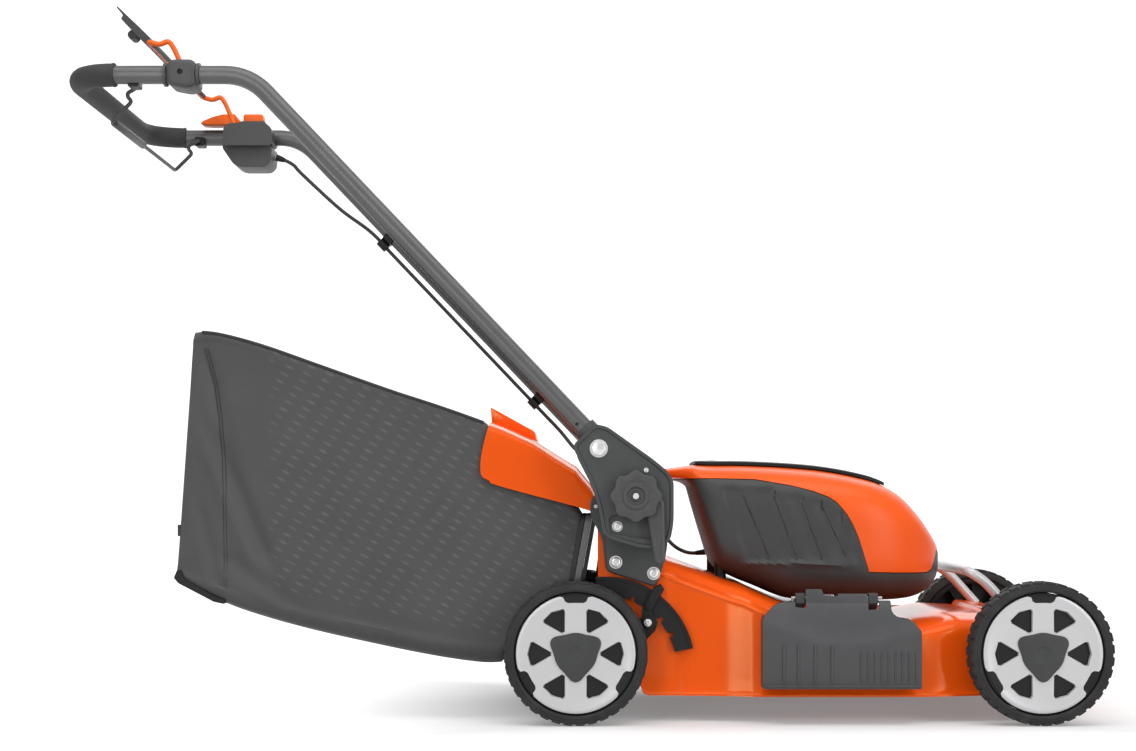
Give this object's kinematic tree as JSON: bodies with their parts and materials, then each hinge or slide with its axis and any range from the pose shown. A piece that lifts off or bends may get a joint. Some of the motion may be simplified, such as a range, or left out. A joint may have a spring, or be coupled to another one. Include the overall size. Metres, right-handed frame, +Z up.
{
  "type": "cordless lawn mower",
  "caption": "Battery lawn mower with a steel deck, folding tube handle, motor cover, rear flap and fabric grass bag on four spoked wheels.",
  "frame": {"origin": "centre of the overall bounding box in x and y, at the ground under the wheels", "axes": "+X to the mower's front, +Y to its left side, +Z up"},
  "size_m": [1.5388, 0.567, 1.0658],
  "materials": {
    "orange_paint": "glossy orange paint",
    "orange_plastic": "orange moulded plastic",
    "dark_plastic": "dark grey moulded plastic",
    "black_plastic": "black moulded plastic",
    "dark_paint": "dark grey powder coat",
    "tyre": "black tyre rubber",
    "grip": "ribbed soft grip",
    "silver": "silver painted plastic",
    "steel": "bare steel",
    "fabric": "dark grey woven mesh"
  },
  "bodies": {
    "chassis": {"deck_shell": "orange_paint", "chute_floor": "dark_paint", "motor_cover": "orange_plastic", "motor_base": "dark_plastic", "battery_pack_right": "black_plastic", "battery_pack_left": "black_plastic", "motor_stator": "steel", "bracket_plate_right": "dark_paint", "bracket_plate_left": "dark_paint", "height_quadrant": "black_plastic", "front_carry_handle": "steel", "control_cable_lower": "black_plastic", "discharge_hinge_rod": "steel"},
    "rear_crank_group": {"rear_crank": "dark_paint", "height_lever": "dark_paint", "drive_gearbox": "dark_plastic"},
    "front_crank_group": {"front_crank": "dark_paint"},
    "link": {"height_link_rod": "steel"},
    "wheel_rear_right": {"tyre_rear_right": "tyre", "hub_rear_right": "silver", "hub_cap_rear_right": "dark_plastic"},
    "wheel_rear_left": {"tyre_rear_left": "tyre", "hub_rear_left": "silver", "hub_cap_rear_left": "dark_plastic"},
    "wheel_front_right": {"tyre_front_right": "tyre", "hub_front_right": "silver", "hub_cap_front_right": "dark_plastic"},
    "wheel_front_left": {"tyre_front_left": "tyre", "hub_front_left": "silver", "hub_cap_front_left": "dark_plastic"},
    "blade_group": {"blade_shaft": "steel", "blade": "steel", "blade_bolt": "steel"},
    "handle": {"handle_tube": "dark_paint", "handle_grip": "grip", "bracket_upper_right": "dark_plastic", "bracket_upper_left": "dark_plastic", "bail_clamp": "dark_plastic", "control_box": "dark_plastic", "control_box_cover": "dark_plastic", "drive_bail_clip_right": "black_plastic", "drive_bail_clip_left": "black_plastic", "control_cable": "black_plastic", "cable_clip_lower": "black_plastic", "cable_clip_upper": "black_plastic"},
    "knob_right": {"pivot_knob_right": "black_plastic"},
    "knob_left": {"pivot_knob_left": "black_plastic"},
    "cam_right": {"cam_lever_right": "dark_plastic"},
    "cam_left": {"cam_lever_left": "dark_plastic"},
    "speed_control": {"speed_lever": "orange_plastic"},
    "start_control": {"start_button": "orange_plastic"},
    "motor_bail_group": {"motor_bail": "orange_paint", "bail_paddle": "dark_plastic"},
    "drive_bail_group": {"drive_bail": "dark_paint"},
    "flap": {"rear_flap": "orange_plastic", "flap_hinge_rod": "steel"},
    "side_cover": {"discharge_cover": "dark_plastic"},
    "lid": {"battery_lid": "dark_plastic"},
    "bag": {"grass_bag": "fabric", "bag_frame": "black_plastic"}
  },
  "joints": [
    {"name": "height_adjust", "type": "hinge", "parent": "chassis", "child": "rear_crank_group", "pos_m": [0.0302, 0, 0.081], "axis": [0, 1, 0], "range_deg": [-36, 24]},
    {"name": "front_crank_turn", "type": "hinge", "parent": "chassis", "child": "front_crank_group", "pos_m": [0.7072, 0, 0.081], "axis": [0, 1, 0], "range_deg": [-36, 24]},
    {"name": "link_turn", "type": "hinge", "parent": "rear_crank_group", "child": "link", "pos_m": [0.0302, 0.2285, 0.141], "axis": [0, 1, 0], "range_deg": [-24, 36]},
    {"name": "wheel_rear_right_spin", "type": "hinge", "parent": "rear_crank_group", "child": "wheel_rear_right", "pos_m": [-0.0125, -0.255, 0.105], "axis": [0, 1, 0], "continuous": true},
    {"name": "wheel_rear_left_spin", "type": "hinge", "parent": "rear_crank_group", "child": "wheel_rear_left", "pos_m": [-0.0125, 0.255, 0.105], "axis": [0, 1, 0], "continuous": true},
    {"name": "wheel_front_right_spin", "type": "hinge", "parent": "front_crank_group", "child": "wheel_front_right", "pos_m": [0.6645, -0.255, 0.105], "axis": [0, 1, 0], "continuous": true},
    {"name": "wheel_front_left_spin", "type": "hinge", "parent": "front_crank_group", "child": "wheel_front_left", "pos_m": [0.6645, 0.255, 0.105], "axis": [0, 1, 0], "continuous": true},
    {"name": "blade_spin", "type": "hinge", "parent": "chassis", "child": "blade_group", "pos_m": [0.36, 0, 0.0575], "axis": [0, 0, 1], "continuous": true},
    {"name": "handle_fold", "type": "hinge", "parent": "chassis", "child": "handle", "pos_m": [0.0747, 0, 0.3334], "axis": [0, 1, 0], "range_deg": [-8, 115]},
    {"name": "knob_right_turn", "type": "hinge", "parent": "handle", "child": "knob_right", "pos_m": [0.0747, -0.2725, 0.3334], "axis": [0, -1, 0], "range_deg": [0, 720]},
    {"name": "knob_left_turn", "type": "hinge", "parent": "handle", "child": "knob_left", "pos_m": [0.0747, 0.2725, 0.3334], "axis": [0, 1, 0], "range_deg": [0, 720]},
    {"name": "cam_right_turn", "type": "hinge", "parent": "handle", "child": "cam_right", "pos_m": [0.1025, -0.2645, 0.3208], "axis": [0, -1, 0], "range_deg": [0, 110]},
    {"name": "cam_left_turn", "type": "hinge", "parent": "handle", "child": "cam_left", "pos_m": [0.1025, 0.2645, 0.3208], "axis": [0, -1, 0], "range_deg": [0, 110]},
    {"name": "speed_lever_turn", "type": "hinge", "parent": "handle", "child": "speed_control", "pos_m": [-0.597, 0.24, 0.9745], "axis": [0, 1, 0], "range_deg": [0, 24]},
    {"name": "start_button_press", "type": "slide", "parent": "handle", "child": "start_control", "axis": [0, 0, -1], "range_m": [0, 0.003], "stiffness_N_per_m": 600},
    {"name": "motor_bail_pull", "type": "hinge", "parent": "handle", "child": "motor_bail_group", "pos_m": [-0.595, 0, 0.958], "axis": [0, -1, 0], "range_deg": [0, 35], "stiffness_Nm_per_rad": 2, "springref_deg": -17.19},
    {"name": "drive_bail_pull", "type": "hinge", "parent": "handle", "child": "drive_bail_group", "pos_m": [-0.66, 0, 0.94], "axis": [0, 1, 0], "range_deg": [0, 38], "stiffness_Nm_per_rad": 1, "springref_deg": -17.19},
    {"name": "flap_lift", "type": "hinge", "parent": "chassis", "child": "flap", "pos_m": [0.0165, 0, 0.3185], "axis": [0, 1, 0], "range_deg": [0, 60], "stiffness_Nm_per_rad": 1.5, "springref_deg": -34.38},
    {"name": "side_cover_lift", "type": "hinge", "parent": "chassis", "child": "side_cover", "pos_m": [0.3745, -0.2335, 0.184], "axis": [-1, 0, 0], "range_deg": [0, 75], "stiffness_Nm_per_rad": 0.6, "springref_deg": -34.38},
    {"name": "battery_lid_open", "type": "hinge", "parent": "chassis", "child": "lid", "pos_m": [0.4655, 0, 0.356], "axis": [0, 1, 0], "range_deg": [0, 70]},
    {"name": "bag_pull", "type": "slide", "parent": "chassis", "child": "bag", "axis": [-1, 0, 0], "range_m": [0, 0.25]}
  ],
  "couplings": [
    {"joint": "front_crank_turn", "follows": "height_adjust", "ratio": 1},
    {"joint": "link_turn", "follows": "height_adjust", "ratio": -1}
  ]
}
